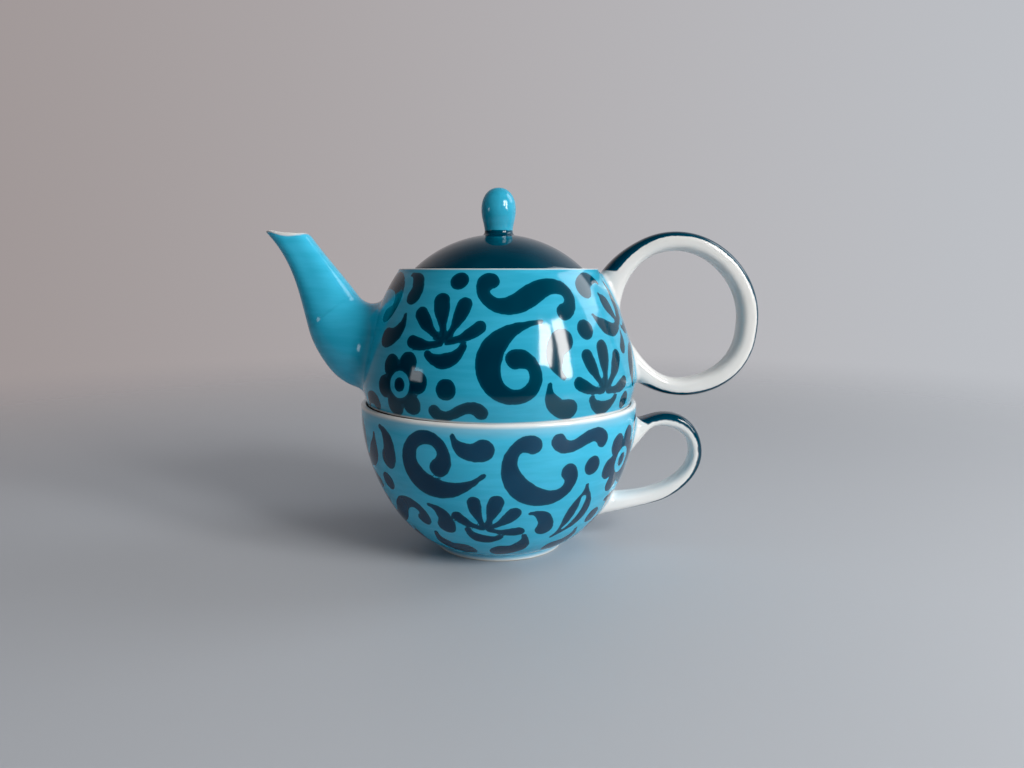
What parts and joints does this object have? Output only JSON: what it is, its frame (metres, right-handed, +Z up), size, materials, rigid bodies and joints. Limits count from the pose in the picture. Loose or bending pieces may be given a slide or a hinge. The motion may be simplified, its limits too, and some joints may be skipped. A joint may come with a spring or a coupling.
{
  "type": "tea for one set",
  "caption": "Glazed ceramic tea set for one: a small teapot with spout, ring handle and knobbed lid, resting in the mouth of a wide footed cup with an ear handle",
  "frame": {"origin": "centre of the cup's foot, on the table", "axes": "+Z up along the common axis of cup, pot and lid; the spout points to -X and both handles to +X; the set is mirror symmetric about the XZ plane"},
  "size_m": [0.2006, 0.1136, 0.1474],
  "materials": {
    "cup_glaze": "glossy",
    "pot_glaze": "glossy",
    "spout_glaze": "glossy",
    "handle_glaze": "glossy",
    "lid_glaze": "glossy"
  },
  "bodies": {
    "root": {"cup": "cup_glaze", "cup_handle": "handle_glaze", "pot_base": "pot_glaze", "teapot": "pot_glaze", "spout": "spout_glaze", "ring_handle": "handle_glaze", "lid": "lid_glaze"}
  },
  "joints": []
}
